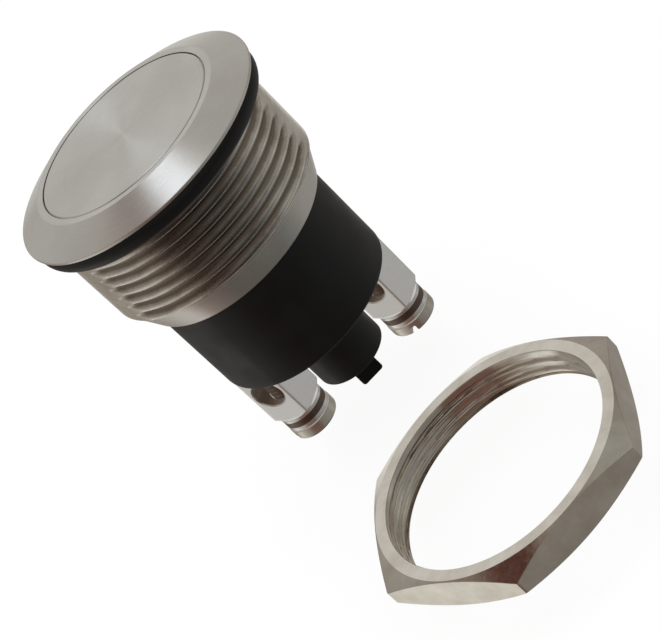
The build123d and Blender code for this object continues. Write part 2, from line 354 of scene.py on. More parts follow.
def carve(piece, *cutters):
    """Cuts closed meshes out of a piece and keeps what is left as its mesh."""
    for cutter in cutters:
        cut = piece.modifiers.new("cut", "BOOLEAN")
        cut.operation = "DIFFERENCE"
        cut.solver = "EXACT"
        cut.object = cutter
    evaluated = piece.evaluated_get(bpy.context.evaluated_depsgraph_get())
    left = bpy.data.meshes.new_from_object(evaluated)
    piece.modifiers.clear()
    piece.data = left
    for cutter in cutters:
        bpy.data.objects.remove(cutter)
    tidy(left)


def smooth_step(value, low, high):
    """Smooth step: 0 up to low, 1 from high, and 3t² - 2t³ between."""
    share = np.clip((value - low) / (high - low), 0, 1)
    return share * share * (3 - 2 * share)


def soft_least(first, second, width):
    """The smaller of two arrays, with the crossing rounded.

    It is their mean, less the root of (half their difference)² + width².
    """
    return (first + second) / 2 - np.sqrt(((first - second) / 2) ** 2 + width ** 2)


def soft_positive(value, width):
    """The larger of an array and zero, with the crossing rounded."""
    return -soft_least(-value, np.zeros_like(value), width)


# Rounding where a thread's groove runs out into a smooth wall
RUN_OUT_ROUNDING = mm(0.015)


def groove(height, angles, start, pitch, half_flat, depth):
    """Depth below a right-hand thread's crest.

    A ridge stands at start + pitch × angle / 2π, and again every pitch. Beyond the flat of the
    nearest ridge the groove's flank falls at 30 degrees to the radius, down to its depth, and both
    its corners are rounded.
    """
    turns = (height - start) / pitch - angles / (2 * pi)
    away = np.abs(turns - np.round(turns)) * pitch
    fall = (away - half_flat) / tan(radians(30))
    lip = mm(0.03)
    return soft_positive(soft_least(fall, np.full_like(fall, depth), lip), lip)


def add_node(tree, kind, settings=None, inputs=None):
    """Adds a node. Settings are its properties, inputs its sockets: values, or outputs to link."""
    node = tree.nodes.new(kind)
    for name, value in (settings or {}).items():
        setattr(node, name, value)
    for name, value in (inputs or {}).items():
        if isinstance(value, bpy.types.NodeSocket):
            tree.links.new(value, node.inputs[name])
        else:
            node.inputs[name].default_value = value
    return node


def start_material(name, **sockets):
    """A material with one Principled shader. Gives the material, its tree, shader and object place."""
    material = bpy.data.materials.new(name)
    material.use_nodes = True
    tree = material.node_tree
    tree.nodes.clear()
    inputs = {key.replace("_", " "): value for key, value in sockets.items()}
    shader = add_node(tree, "ShaderNodeBsdfPrincipled", inputs=inputs)
    add_node(tree, "ShaderNodeOutputMaterial", inputs={"Surface": shader.outputs["BSDF"]})
    place = add_node(tree, "ShaderNodeTexCoord").outputs["Object"]
    return material, tree, shader, place


def rgba(value):
    """A colour as red, green, blue and full alpha."""
    return (*value, 1)


def blend(tree, share, first, second):
    """A mix of two colours by a share from 0 to 1. Gives its colour output."""
    mix = add_node(tree, "ShaderNodeMix", {"data_type": "RGBA"}, {"Factor": share, 6: first, 7: second})
    return mix.outputs[2]


def finish_surface(tree, shader, tint, sheen, rough, relief, height):
    """Links the colour, a roughness that follows the sheen between two values, and the relief."""
    gloss = add_node(tree, "ShaderNodeMapRange",
                     inputs={"Value": sheen, "From Min": 0.3, "From Max": 0.7,
                             "To Min": rough[0], "To Max": rough[1]})
    bump = add_node(tree, "ShaderNodeBump", inputs={"Height": relief, "Distance": height, "Strength": 1})
    tree.links.new(tint, shader.inputs["Base Color"])
    tree.links.new(gloss.outputs[0], shader.inputs["Roughness"])
    tree.links.new(bump.outputs[0], shader.inputs["Normal"])


def stretch_around(tree, shader, place):
    """Stretches the highlights round the Z axis, by the tangent Z × place. Gives the distance from it."""
    flat = add_node(tree, "ShaderNodeVectorMath", {"operation": "MULTIPLY"}, {0: place, 1: (1, 1, 0)})
    around = add_node(tree, "ShaderNodeVectorMath", {"operation": "CROSS_PRODUCT"},
                      {0: (0, 0, 1), 1: flat.outputs[0]})
    tangent = add_node(tree, "ShaderNodeVectorMath", {"operation": "NORMALIZE"}, {0: around.outputs[0]})
    tree.links.new(tangent.outputs[0], shader.inputs["Tangent"])
    radius = add_node(tree, "ShaderNodeVectorMath", {"operation": "LENGTH"}, {0: flat.outputs[0]})
    return radius.outputs["Value"]


def turned_steel(name, pale, grey, bump=mm(0.002), rough=(0.26, 0.36), anisotropy=0.8):
    """Turned stainless steel, satin: fine rings about the axis, left by the tool and then brushed.

    The rings give the eye a highlight stretched across them, in two wedges through the middle of a
    flat face. Real tool marks are about 0.03 mm apart; they are drawn wider, to show.
    """
    material, tree, shader, place = start_material(name, Metallic=1, Anisotropic=anisotropy,
                                                   Anisotropic_Rotation=0.25)
    radius = stretch_around(tree, shader, place)
    split = add_node(tree, "ShaderNodeSeparateXYZ", inputs={0: place})
    along = add_node(tree, "ShaderNodeMath", {"operation": "SUBTRACT"},
                     {0: radius, 1: split.outputs["Z"]})
    mark_spacing = mm(0.09)
    rings = add_node(tree, "ShaderNodeTexNoise", {"noise_dimensions": "1D"},
                     {"W": along.outputs[0], "Scale": 1 / mark_spacing, "Detail": 3, "Roughness": 0.7})
    patches = add_node(tree, "ShaderNodeTexNoise",
                       inputs={"Vector": place, "Scale": 1 / mm(5), "Detail": 3})
    both = add_node(tree, "ShaderNodeMath", {"operation": "ADD"},
                    {0: rings.outputs["Fac"], 1: patches.outputs["Fac"]})
    share = add_node(tree, "ShaderNodeMapRange",
                     inputs={"Value": both.outputs[0], "From Min": 0.7, "From Max": 1.3})
    tint = blend(tree, share.outputs[0], rgba(grey), rgba(pale))
    finish_surface(tree, shader, tint, rings.outputs["Fac"], rough, rings.outputs["Fac"], bump)
    return material


def threaded_steel(name, pale, brown, oil, depth):
    """Cut thread in stainless steel: crests lighter as a painted highlight, and grooves brown as
    painted shade with some old cutting oil.

    The near side, next to the sealing ring, is painted dark in the colour oil: a painted reflection
    of the dark front, which fades round the barrel and down it.
    """
    material, tree, shader, place = start_material(name, Metallic=1, Anisotropic=0.5,
                                                   Anisotropic_Rotation=0.25)
    radius = stretch_around(tree, shader, place)
    # Pale crests and brown grooves: a painted highlight and painted shade, with some old oil in the
    # grooves
    deep = add_node(tree, "ShaderNodeMapRange",
                    inputs={"Value": radius, "From Min": CREST_RADIUS,
                            "From Max": CREST_RADIUS - depth * 0.7})
    patches = add_node(tree, "ShaderNodeTexNoise",
                       inputs={"Vector": place, "Scale": 1 / mm(2.2), "Detail": 5, "Roughness": 0.65})
    stain = add_node(tree, "ShaderNodeMapRange",
                     inputs={"Value": patches.outputs["Fac"], "From Min": 0.35, "From Max": 0.7,
                             "To Min": 0, "To Max": 0.4})
    both = add_node(tree, "ShaderNodeMath", {"operation": "ADD", "use_clamp": True},
                    {0: deep.outputs[0], 1: stain.outputs[0]})
    shaded_and_stained = blend(tree, both.outputs[0], rgba(pale), rgba(brown))
    # How far a point lies towards the near side, and a little towards the sealing ring, for the painted
    # dark reflection
    near = add_node(tree, "ShaderNodeVectorMath", {"operation": "DOT_PRODUCT"},
                    {0: place, 1: (-0.03, -0.99, 0.12)})
    front_shade = add_node(tree, "ShaderNodeMapRange", {"interpolation_type": "SMOOTHSTEP"},
                    {"Value": near.outputs["Value"], "From Min": mm(8.4), "From Max": mm(10.6),
                     "To Min": 0, "To Max": 0.85})
    tint = blend(tree, front_shade.outputs[0], shaded_and_stained, rgba(oil))
    grain = add_node(tree, "ShaderNodeTexNoise",
                     inputs={"Vector": place, "Scale": 1 / mm(0.12), "Detail": 3})
    finish_surface(tree, shader, tint, grain.outputs["Fac"], (0.2, 0.36),
                   grain.outputs["Fac"], mm(0.003))
    return material


def plated(name, pale, grey, rough, grain=mm(0.35), waviness=mm(0.004)):
    """Smooth metal, plated or bare: near mirror or satin, with slight waves and cloudy patches.

    The waves bend straight reflections a little, and the cloudy patches are thinner plate or wear.
    """
    material, tree, shader, place = start_material(name, Metallic=1)
    clouds = add_node(tree, "ShaderNodeTexNoise",
                      inputs={"Vector": place, "Scale": 1 / mm(2.5), "Detail": 4, "Roughness": 0.6})
    share = add_node(tree, "ShaderNodeMapRange",
                     inputs={"Value": clouds.outputs["Fac"], "From Min": 0.35, "From Max": 0.65})
    tint = blend(tree, share.outputs[0], rgba(pale), rgba(grey))
    fine = add_node(tree, "ShaderNodeTexNoise",
                    inputs={"Vector": place, "Scale": 1 / grain, "Detail": 3, "Roughness": 0.6})
    finish_surface(tree, shader, tint, fine.outputs["Fac"], rough, fine.outputs["Fac"], waviness)
    return material


def moulded(name, dark, rubbed, rough, grain, relief):
    """Moulded polymer: matte skin with the mould's fine spark texture and faint rubbed patches."""
    material, tree, shader, place = start_material(name, IOR=1.5, Specular_IOR_Level=0.32)
    clouds = add_node(tree, "ShaderNodeTexNoise",
                      inputs={"Vector": place, "Scale": 1 / mm(3), "Detail": 5, "Roughness": 0.6})
    share = add_node(tree, "ShaderNodeMapRange",
                     inputs={"Value": clouds.outputs["Fac"], "From Min": 0.4, "From Max": 0.75})
    tint = blend(tree, share.outputs[0], rgba(dark), rgba(rubbed))
    spark = add_node(tree, "ShaderNodeTexNoise",
                     inputs={"Vector": place, "Scale": 1 / grain, "Detail": 4, "Roughness": 0.7})
    finish_surface(tree, shader, tint, clouds.outputs["Fac"], rough, spark.outputs["Fac"], relief)
    return material


def sizes():
    """The scene's sizes."""
    return bpy.context.scene.switch_sizes


def colours():
    """The scene's colours."""
    return bpy.context.scene.switch_colours


class PUSHBUTTON_OT_bezel(bpy.types.Operator):
    """Turn the bezel: flange, seal groove, threaded barrel and the bores inside"""

    bl_idname = "push_button.bezel"
    bl_label = "Bezel"

    def execute(self, context):
        s = sizes()
        angles = round_angles(340)
        low, high = BOX["bezel_body"]
        flange_radius = high.x
        button_gap = mm(0.08)
        socket_gap = mm(0.02)
        pocket_radius = BOX["button"][1].x + button_gap
        socket_radius = BOX["terminal_housing"][1].x + socket_gap
        seat_z = s.seal_section
        groove_radius = CREST_RADIUS - s.seal_relief
        cone_top = CREST_RADIUS - s.end_step
        edge = s.edge_rounding
        above = profile(
            (pocket_radius, s.web_high, 0),
            (pocket_radius, high.z, edge),
            (pocket_radius + s.face_ring, high.z, edge),
            (flange_radius, seat_z + s.rim_height, edge),
            (flange_radius, seat_z, edge),
            (groove_radius, seat_z, 0),
            (groove_radius, 0, 0),
        )
        rows = np.linspace(0, -s.thread_length, 190)[:, None]
        cut = groove(rows, angles[None, :], s.ridge_start, s.ridge_pitch,
                     s.ridge_half_flat, s.ridge_depth)
        off_axis = np.abs((angles + pi / 2) % pi - pi / 2)
        reach = smooth_step(off_axis, s.strip_half_angle - s.strip_taper / 2,
                            s.strip_half_angle + s.strip_taper / 2)
        lifted = cut - (1 - reach) * s.ridge_depth
        lifted = soft_positive(lifted, RUN_OUT_ROUNDING)
        below = profile(
            (cone_top, -s.thread_length, mm(0.03)),
            (socket_radius + s.end_lip, low.z, mm(0.05)),
            (socket_radius, low.z, 0),
            (socket_radius, s.socket_z, 0),
            (s.clip_room, s.socket_z, 0),
            (s.clip_room, s.web_low, 0),
            (s.guide_radius, s.web_low, 0),
            (s.guide_radius, s.web_high, 0),
        )
        grid = np.concatenate([
            lathe(above, angles),
            turned(CREST_RADIUS - lifted, rows + 0 * lifted, angles),
            lathe(below, angles),
        ])
        bezel = new_object("turned_bezel", mesh_from_grid("turned_bezel", grid, closed_rows=True))
        c = colours()
        steel = turned_steel("Turned stainless steel, satin", c.steel_pale, c.steel_grey)
        # The thread's oil colour is the gap's painted shade, here a painted dark reflection on the near
        # side
        thread = threaded_steel("Cut stainless thread, oiled, with painted light", c.barrel_pale, c.barrel_shade_and_oil,
                                c.gap_shade, s.ridge_depth)
        # The walls of the gap get a dull dark brown as painted shade
        gap = plated("Stainless steel, gap with painted shade", c.gap_shade, c.gap_shade, (0.5, 0.6))
        dress(bezel, "bezel_body", "stainless", steel, thread, gap)
        x, y, z = face_centres(bezel.data).T
        from_axis = np.hypot(x, y)
        inside_roots = CREST_RADIUS - s.ridge_depth * 1.3
        on_thread = (z < 0) & (z > -s.thread_length) & (from_axis > inside_roots)
        in_gap = (from_axis < pocket_radius + mm(0.005)) & (z > s.web_low)
        assign_materials(bezel.data, np.select([on_thread, in_gap], [1, 2], 0))
        return {"FINISHED"}


class PUSHBUTTON_OT_button(bpy.types.Operator):
    """Turn the flat button with its stem"""

    bl_idname = "push_button.button"
    bl_label = "Button"

    def execute(self, context):
        s = sizes()
        low, high = BOX["button"]
        stem_radius = mm(3)
        edge = mm(0.16)
        shape = profile(
            (0, high.z, 0),
            (high.x, high.z, edge),
            (high.x, high.z - s.cap_thickness, mm(0.05)),
            (stem_radius, high.z - s.cap_thickness, 0),
            (stem_radius, low.z, mm(0.05)),
            (0, low.z, 0),
        )
        # Rings of vertices across the face, from near its middle to near its edge
        rings = np.linspace(0.04, 0.94, 24)[:, None] * (high.x, 0) + (0, high.z)
        grid = lathe(np.concatenate([shape[:1], rings, shape[1:]]), round_angles(256))
        button = new_object("turned_button", mesh_from_grid("turned_button", grid))
        c = colours()
        steel = turned_steel("Turned stainless steel, button face", c.steel_pale, c.steel_grey,
                             bump=mm(0.001), rough=(0.27, 0.33), anisotropy=0.9)
        # The cap's wall gets the dull dark brown of the gap round it, as painted shade
        gap = plated("Stainless steel, cap wall with painted shade", c.gap_shade, c.gap_shade, (0.5, 0.6))
        dress(button, "button", "button_steel", steel, gap)
        assign_materials(button.data, face_centres(button.data)[:, 2] < high.z - edge)
        return {"FINISHED"}


class PUSHBUTTON_OT_seals(bpy.types.Operator):
    """Mould the sealing rings under the flange and round the stem"""

    bl_idname = "push_button.seals"
    bl_label = "Seals"

    def execute(self, context):
        c = colours()
        # Nitrile rubber: black, with a soft sheen and a slight grain from its mould
        rubber = moulded("Nitrile rubber, moulded", c.rubber, c.rubber,
                         rough=(0.38, 0.5), grain=mm(0.15), relief=mm(0.004))
        for node in ("panel_seal", "button_seal"):
            low, high = BOX[node]
            section = (high.z - low.z) / 2
            around = round_angles(32)
            radius = high.x - section + section * np.cos(around)
            height = (low.z + high.z) / 2 + section * np.sin(around)
            grid = turned(radius, height, round_angles(256))
            ring = new_object(f"moulded_{node}", mesh_from_grid(node, grid, closed_rows=True))
            dress(ring, node, "rubber", rubber)
        return {"FINISHED"}


class PUSHBUTTON_OT_housing(bpy.types.Operator):
    """Finish the moulded housing with its boss and tab, and the chamber cover"""

    bl_idname = "push_button.housing"
    bl_label = "Housing"

    def execute(self, context):
        c = colours()
        # Black nylon: near black and matte, with a fine spark texture and a grey sheen when seen aslant
        nylon = moulded("Black nylon, moulded", c.nylon, c.nylon_grey,
                        rough=(0.42, 0.55), grain=mm(0.09), relief=mm(0.006))
        for node in ("terminal_housing", "chamber_cover"):
            mesh = frame["nodes"][node].data.copy()
            tidy(mesh, radians(25))
            dress(new_object(f"moulded_{node}", mesh), node, "black_plastic", nylon)
        return {"FINISHED"}


class PUSHBUTTON_OT_pillars(bpy.types.Operator):
    """Make the two square terminal pillars with their wire holes and tapped ends"""

    bl_idname = "push_button.pillars"
    bl_label = "Terminal pillars"

    def execute(self, context):
        s = sizes()
        c = colours()
        low, high = BOX["terminal_post_right"]
        square_top = BOX["terminal_housing"][0].z + mm(9)
        half = s.pillar_side / 2
        corner = s.pillar_side / 2 ** 0.5
        near_corner = np.array([0.3, 0.9, 1.8, 3.5, 7])
        side = np.concatenate([near_corner, np.linspace(11, 79, 14), 90 - near_corner[::-1]])
        angles = np.radians((side[None, :] + 90 * np.arange(4)[:, None]).reshape(-1))
        square = half / np.cos(np.abs((angles % (pi / 2)) - pi / 4))
        # The square's edges are broken a little, inside its true corner
        square = soft_least(square, np.full_like(square, corner - mm(0.06)), mm(0.02))
        collar_top = low.z + s.collar_height
        cone_high = collar_top + s.collar_cone
        heights = np.concatenate([
            np.linspace(square_top, cone_high + mm(0.15), 14),
            np.linspace(cone_high + mm(0.1), collar_top, 16),
        ])[:, None]
        cone = s.collar_radius + (heights - collar_top) * (corner - s.collar_radius) / s.collar_cone
        envelope = np.minimum(cone, corner + mm(0.1))
        outer = soft_least(square[None, :] + 0 * heights, envelope + 0 * square[None, :], mm(0.01))
        shade_top = collar_top - s.collar_unshaded
        shade_low = shade_top - s.collar_shade_band
        mouth = mm(0.12)
        collar = profile(
            (s.collar_radius - mm(0.3), collar_top, 0),
            (s.collar_radius, collar_top, mm(0.05)),
            (s.collar_radius, shade_top, 0),
            (s.collar_radius, shade_low, 0),
            (s.collar_radius, low.z, mm(0.08)),
            (s.tapped_radius + mouth, low.z, 0),
        )[1:]
        # The tapped hole ends just above the screw
        hole_top = BOX["terminal_screw_right"][1].z + mm(0.15)
        tapped = [(s.tapped_radius, low.z + mouth), (s.tapped_radius, hole_top), (0, hole_top)]
        # The shank goes up through the housing to a ledge, where its rivet holds the contact plate
        rivet_radius = mm(0.95)
        rivet_low = high.z - mm(0.35)
        pin_radius = mm(0.6)
        ledge_z = high.z - mm(1.15)
        shank_radius = mm(1.1)
        shank = [
            (0, high.z),
            (rivet_radius, high.z),
            (rivet_radius, rivet_low),
            (pin_radius, rivet_low),
            (pin_radius, ledge_z),
            (shank_radius, ledge_z),
            (shank_radius, square_top),
        ]
        # The wire hole's drill runs past both sides, and flares at 45 degrees from just inside them
        hole = s.wire_hole_radius
        flare = mm(0.1)
        past = half + mm(0.5)
        wide = hole + flare + mm(0.5)
        drill = [
            (0, past),
            (wide, past),
            (hole, half - flare),
            (hole, flare - half),
            (wide, -past),
            (0, -past),
        ]
        turn = Matrix.Rotation(pi / 4, 4, "Z") @ Matrix.Rotation(pi / 2, 4, "Y")
        # Nickel over a milled bar: pale, with soft highlights, and brown as painted shade in the wire
        # hole and on a band round the collar
        finish = plated("Nickel plate, satin", c.pillar_nickel, c.pillar_nickel, (0.26, 0.32),
                        grain=mm(0.6), waviness=mm(0.0004))
        hole_shade_finish = plated("Nickel plate, painted hole shade", c.hole_shade, c.hole_shade, (0.35, 0.5))
        for name, direction in SIDES.items():
            centre = (direction * POST_X, 0)
            grid = np.concatenate([
                lathe(shank, angles, centre),
                turned(outer, heights + 0 * outer, angles, centre),
                lathe(collar, angles, centre),
                lathe(tapped, angles, centre),
            ])
            pillar = new_object(f"square_pillar_{name}", mesh_from_grid(f"square_pillar_{name}", grid))
            cutter = new_object("drill", mesh_from_grid("drill", lathe(drill, round_angles(72))))
            cutter.data.transform(Matrix.Translation((*centre, WIRE_HOLE_Z)) @ turn)
            carve(pillar, cutter)
            dress(pillar, f"terminal_post_{name}", "nickel_post", finish, hole_shade_finish)
            x, y, z = face_centres(pillar.data).T
            along = (x - centre[0] + y) / 2 ** 0.5
            across = (x - centre[0] - y) / 2 ** 0.5
            in_hole = np.hypot(across, z - WIRE_HOLE_Z) < hole + flare * 0.3
            in_hole &= np.abs(along) < half - mm(0.01)
            # The wire hole and the band round the collar take the painted shade
            assign_materials(pillar.data, in_hole | ((z < shade_top) & (z > shade_low)))
        return {"FINISHED"}


class PUSHBUTTON_OT_screws(bpy.types.Operator):
    """Make the two slotted terminal screws"""

    bl_idname = "push_button.screws"
    bl_label = "Terminal screws"

    def execute(self, context):
        s = sizes()
        c = colours()
        # Worn nickel: the head gleams unevenly, and the thread is browned as painted shade
        finish = plated("Nickel plate, worn", c.screw_nickel, c.nickel_grey, (0.24, 0.36),
                        grain=mm(0.2))
        hole_shade_finish = plated("Nickel plate, painted shank shade", c.hole_shade, c.hole_shade, (0.35, 0.5))
        low, high = BOX["terminal_screw_right"]
        head_radius = (high.x - low.x) / 2
        head_top = low.z + s.head_height
        angles = round_angles(96)
        tip_chamfer = mm(0.3)
        tip = [(0, high.z), (s.screw_radius - tip_chamfer, high.z)]
        shank = np.linspace(high.z - tip_chamfer, head_top, 150)[:, None]
        cut = groove(shank, angles[None, :], head_top, s.screw_pitch,
                     half_flat=mm(0.05), depth=mm(0.2))
        head = profile(
            (head_radius, head_top, mm(0.06)),
            (head_radius, low.z, s.head_rounding),
            (0, low.z, 0),
            steps=9,
        )
        # The saw is a bar that runs past the head on both sides and below it
        half = s.slot_width / 2
        floor = low.z + s.slot_depth
        saw_low = low.z - mm(1)
        floor_rounding = mm(0.08)
        y, z = profile(
            (-half, floor, floor_rounding),
            (half, floor, floor_rounding),
            (half, saw_low, 0),
            (-half, saw_low, 0),
        ).T
        middle = (floor + saw_low) / 2
        reach = np.array([-2, -2, 2, 2])[:, None] * head_radius
        scale = np.array([0, 1, 1, 0])[:, None]
        saw = np.stack([reach + 0 * y, y * scale, middle + (z - middle) * scale], axis=-1)
        slots = {"left": s.slot_left, "right": s.slot_right}
        for name, direction in SIDES.items():
            centre = (direction * POST_X, 0)
            grid = np.concatenate([
                lathe(tip, angles, centre),
                turned(s.screw_radius - cut, shank + 0 * cut, angles, centre),
                lathe(head, angles, centre),
            ])
            screw = new_object(f"slotted_screw_{name}", mesh_from_grid(f"slotted_screw_{name}", grid))
            cutter = new_object("saw", mesh_from_grid("saw", saw))
            turn = Matrix.Rotation(slots[name], 4, "Z")
            cutter.data.transform(Matrix.Translation((*centre, 0)) @ turn)
            carve(screw, cutter)
            dress(screw, f"terminal_screw_{name}", "screw_metal", finish, hole_shade_finish)
            # The shank below the head takes the painted shade of the hole round it
            assign_materials(screw.data, face_centres(screw.data)[:, 2] > head_top + mm(0.02))
        return {"FINISHED"}


class PUSHBUTTON_OT_nut(bpy.types.Operator):
    """Make the hexagon panel nut with its chamfers and thread"""

    bl_idname = "push_button.nut"
    bl_label = "Panel nut"

    def execute(self, context):
        s = sizes()
        c = colours()
        low, high = BOX["panel_nut"]
        near_corner = np.array([0.15, 0.4, 0.7, 1.1, 1.7, 2.6])
        side = np.concatenate([near_corner, np.linspace(4, 56, 44), 60 - near_corner[::-1]])
        local = np.tile(np.radians(side), 6)
        angles = s.nut_turn + local + np.repeat(np.arange(6), len(side)) * pi / 3
        centre = (NUT_PLACE.x, NUT_PLACE.y)
        hexagon = s.nut_flats / 2 / np.cos(local - pi / 6)
        corner = s.nut_flats / 2 / cos(pi / 6)
        hexagon = soft_least(hexagon, np.full_like(hexagon, corner), mm(0.035))
        face_radius = s.nut_flats / 2 - s.nut_margin
        middle = (low.z + high.z) / 2
        crossing = (high.z - (hexagon - face_radius) * tan(s.nut_chamfer))[None, :]
        # Rows of vertices, closer together where the chamfer's cone meets the flats
        cone_share = np.array([0, 0.15, 0.3, 0.45, 0.6, 0.72, 0.82, 0.89, 0.94, 0.975, 1])[:, None]
        wall_share = np.array([0.01, 0.025, 0.05, 0.09, 0.15, 0.3, 0.5, 0.75, 1])[:, None]
        half_side = np.concatenate([
            high.z + (crossing - high.z) * cone_share,
            crossing + (middle - crossing) * wall_share,
        ])
        heights = np.concatenate([half_side, 2 * middle - half_side[-2::-1]])
        cone = face_radius + np.minimum(high.z - heights, heights - low.z) / tan(s.nut_chamfer)
        outer = soft_least(hexagon[None, :] + 0 * heights, cone, mm(0.012))
        bevel = mm(0.05)
        mouth = NUT_BORE_RADIUS + bevel
        bore = np.linspace(low.z + bevel, high.z - bevel, 80)[:, None]
        first_ridge = high.z - mm(0.55)
        cut = groove(bore, angles[None, :], first_ridge, s.ridge_pitch,
                     half_flat=mm(0.16), depth=s.nut_groove_depth)
        # The bore is smooth near its upper face, and the thread starts over this stretch below it
        faded = smooth_step(high.z - bore, mm(0.35), mm(0.9))
        cut = soft_positive(cut - (1 - faded) * s.nut_groove_depth, RUN_OUT_ROUNDING)
        ones = np.ones((1, len(angles)))
        inner_support = mouth + mm(0.03)
        outer_support = face_radius - mm(0.03)
        ring = np.array([mouth, inner_support, face_radius - mm(0.1), outer_support])[:, None]
        grid = np.concatenate([
            turned(ring * ones, high.z + 0 * ones, angles, centre),
            turned(outer, heights, angles, centre),
            turned(ring[::-1] * ones, low.z + 0 * ones, angles, centre),
            turned(NUT_BORE_RADIUS + cut, bore + 0 * cut, angles, centre),
        ])
        mesh = mesh_from_grid("hexagon_nut", grid, closed_rows=True, sharp=radians(20))
        # Bright nickel over turned steel: a near mirror whose reflections wave slightly
        finish = plated("Bright nickel plate on steel", c.nickel_pale, c.nickel_grey, (0.12, 0.2),
                        grain=mm(0.5), waviness=mm(0.006))
        dress(new_object("hexagon_nut", mesh), "panel_nut", "nickel_nut", finish)
        return {"FINISHED"}


def coil_mesh(name, node, turns, wire):
    """Round wire along a helix: centre (R cos t, R sin t, z), plus the wire's circle in the plane
    of the outward direction and the direction across the helix."""
    low, high = BOX[node]
    steps_per_turn = 40
    wire_steps = 12
    radius = (high.x - low.x) / 2 - wire
    angles = np.linspace(0, 2 * pi * turns, int(steps_per_turn * turns))
    rise = (high.z - low.z - 2 * wire) / angles[-1]
    out = np.stack([np.cos(angles), np.sin(angles), 0 * angles], -1)
    along = np.stack([-radius * np.sin(angles), radius * np.cos(angles), rise + 0 * angles], -1)
    across = np.cross(along, out) / np.linalg.norm(along, axis=1)[:, None]
    centre = out * radius + np.stack([0 * angles, 0 * angles, low.z + wire + rise * angles], -1)
    around = round_angles(wire_steps)[None, :, None]
    tube = centre[:, None] + wire * (np.cos(around) * out[:, None] + np.sin(around) * across[:, None])
    ends = [np.repeat(centre[end][None, None], wire_steps, axis=1) for end in (0, -1)]
    return mesh_from_grid(name, np.concatenate([ends[0], tube, ends[1]]))


class PUSHBUTTON_OT_springs(bpy.types.Operator):
    """Wind the return spring and the contact spring"""

    bl_idname = "push_button.springs"
    bl_label = "Springs"

    def execute(self, context):
        c = colours()
        # Drawn spring wire: grey, smooth and lightly oiled
        wire_finish = plated("Spring steel wire, drawn", c.spring_steel, c.spring_steel, (0.25, 0.35))
        plans = {
            "return_spring": (4.5, mm(0.2), "button_press", "low"),
            "contact_spring": (2.5, mm(0.15), "bridge_overtravel", "high"),
        }
        for node, (turns, wire, joint, seat) in plans.items():
            spring = new_object(f"wound_{node}", coil_mesh(node, node, turns, wire))
            dress(spring, node, "spring_steel", wire_finish)
            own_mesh(spring)
        return {"FINISHED"}


class PUSHBUTTON_OT_mechanism(bpy.types.Operator):
    """Finish the hidden pieces of the contact mechanism"""

    bl_idname = "push_button.mechanism"
    bl_label = "Mechanism"

    def execute(self, context):
        c = colours()
        # Natural acetal: waxy white, smooth from its mould
        acetal = moulded("Natural acetal, moulded", c.acetal, c.acetal,
                         rough=(0.3, 0.4), grain=mm(0.2), relief=mm(0.002))
        # Stamped brass is warm and satin, silver pale and brighter, and spring sheet grey and duller
        brass = plated("Stamped brass", c.brass, c.brass, (0.2, 0.34))
        silver = plated("Silver contact rivet", c.silver, c.silver, (0.16, 0.26))
        spring = plated("Spring steel sheet", c.spring_steel, c.spring_steel, (0.28, 0.4))
        finishes = {
            "plunger": acetal,
            "button_clip": spring,
            "bridge_retainer": spring,
            "contact_bridge": brass,
            "contact_plate_left": brass,
            "contact_plate_right": brass,
        }
        finishes.update({f"{kind}_tip_{name}": silver for kind in ("moving", "fixed") for name in SIDES})
        for node, finish in finishes.items():
            frame["nodes"][node].data.materials.clear()
            frame["nodes"][node].data.materials.append(finish)
            frame["nodes"][node].visible_glossy = False
        return {"FINISHED"}


# The photograph's camera, fitted to the circles of the flange, the button and the nut
CAMERA_PLACE = (mm(0), mm(-173.42), mm(77.36))
CAMERA_PITCH = radians(30.09)
CAMERA_PAN = radians(0.28)
CAMERA_ROLL = radians(46.04)
FOCAL_PIXELS = 2266.7
IMAGE_WIDTH = 660
SENSOR_WIDTH = 36

# What the metal mirrors: each zone's azimuth, elevation, inner and outer radius in degrees, and colour.
# Places and radii are chosen by hand. Most of the colours, and the base, are not: another program
# fitted them to the photograph's reflections by least squares, and they were rounded afterwards
STUDIO_ZONES = (
    (90, 35, 22, 48, "#C0C0BC"),
    (0, 5, 20, 60, "#949088"),
    (180, 5, 20, 55, "#B8B0A8"),
    (265, 0, 38, 78, "#24201C"),
    (270, 40, 20, 42, "#A4A09C"),
    (330, -35, 20, 50, "#989898"),
    (35, -38, 20, 45, "#A09C98"),
    (122, -32, 6, 16, "#9C9890"),
    (158, -40, 9, 20, "#F4F4F0"),
    (285, -40, 12, 22, "#94908C"),
    (238, -37, 20, 30, "#7C6058"),
    (168, 70, 7, 14, "#5C3830"),
    (86, -19, 8, 26, "#F0F0EC"),
    (90, 42, 8, 18, "#E8E8E8"),
    (270, -82, 8, 40, "#585C58"),
    (0, -25, 7, 18, "#B8B8B8"),
    (180, -22, 7, 18, "#C0C0C0"),
    (15, 60, 8, 25, "#ACACA8"),
    (82, 77, 5, 14, "#FCFCFC"),
    (150, 15, 10, 30, "#A8A8A8"),
    (215, -10, 8, 22, "#9C9894"),
    (203, -20, 6, 16, "#C8C4BC"),
)
STUDIO_BASE = "#908078"
# The light that matte surfaces get from all round
STUDIO_FILL = "#D4D4D4"


